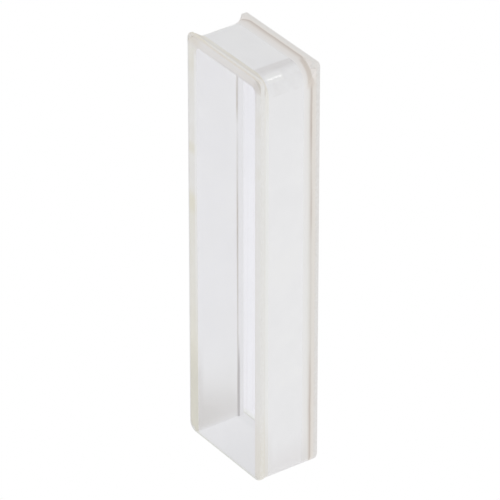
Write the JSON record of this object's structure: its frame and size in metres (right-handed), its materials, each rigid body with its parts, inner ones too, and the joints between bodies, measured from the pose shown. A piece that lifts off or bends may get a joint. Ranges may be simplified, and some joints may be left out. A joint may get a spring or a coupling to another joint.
{
  "type": "cuvette",
  "caption": "Narrow rectangular glass cuvette: a frosted U-shaped body with clear windows cemented front and back, open at one short end, holding a liquid sample in a light path.",
  "frame": {"origin": "centre of the open mouth, in the plane that the mouth's rim stands on", "axes": "+Z from the mouth to the closed end, +Y along the light path from the front window to the rear window, +X across the chamber's width"},
  "size_m": [0.0122, 0.0068, 0.045],
  "materials": {
    "frosted_glass": "fine ground, satin",
    "clear_glass": "polished faces, ground edges",
    "pale_cement": "cured resin, pale yellow",
    "brown_cement": "cured resin, browned"
  },
  "bodies": {
    "root": {"body": "frosted_glass", "front_window": "clear_glass", "rear_window": "clear_glass", "front_cement": "pale_cement", "rear_cement": "brown_cement"}
  },
  "joints": []
}
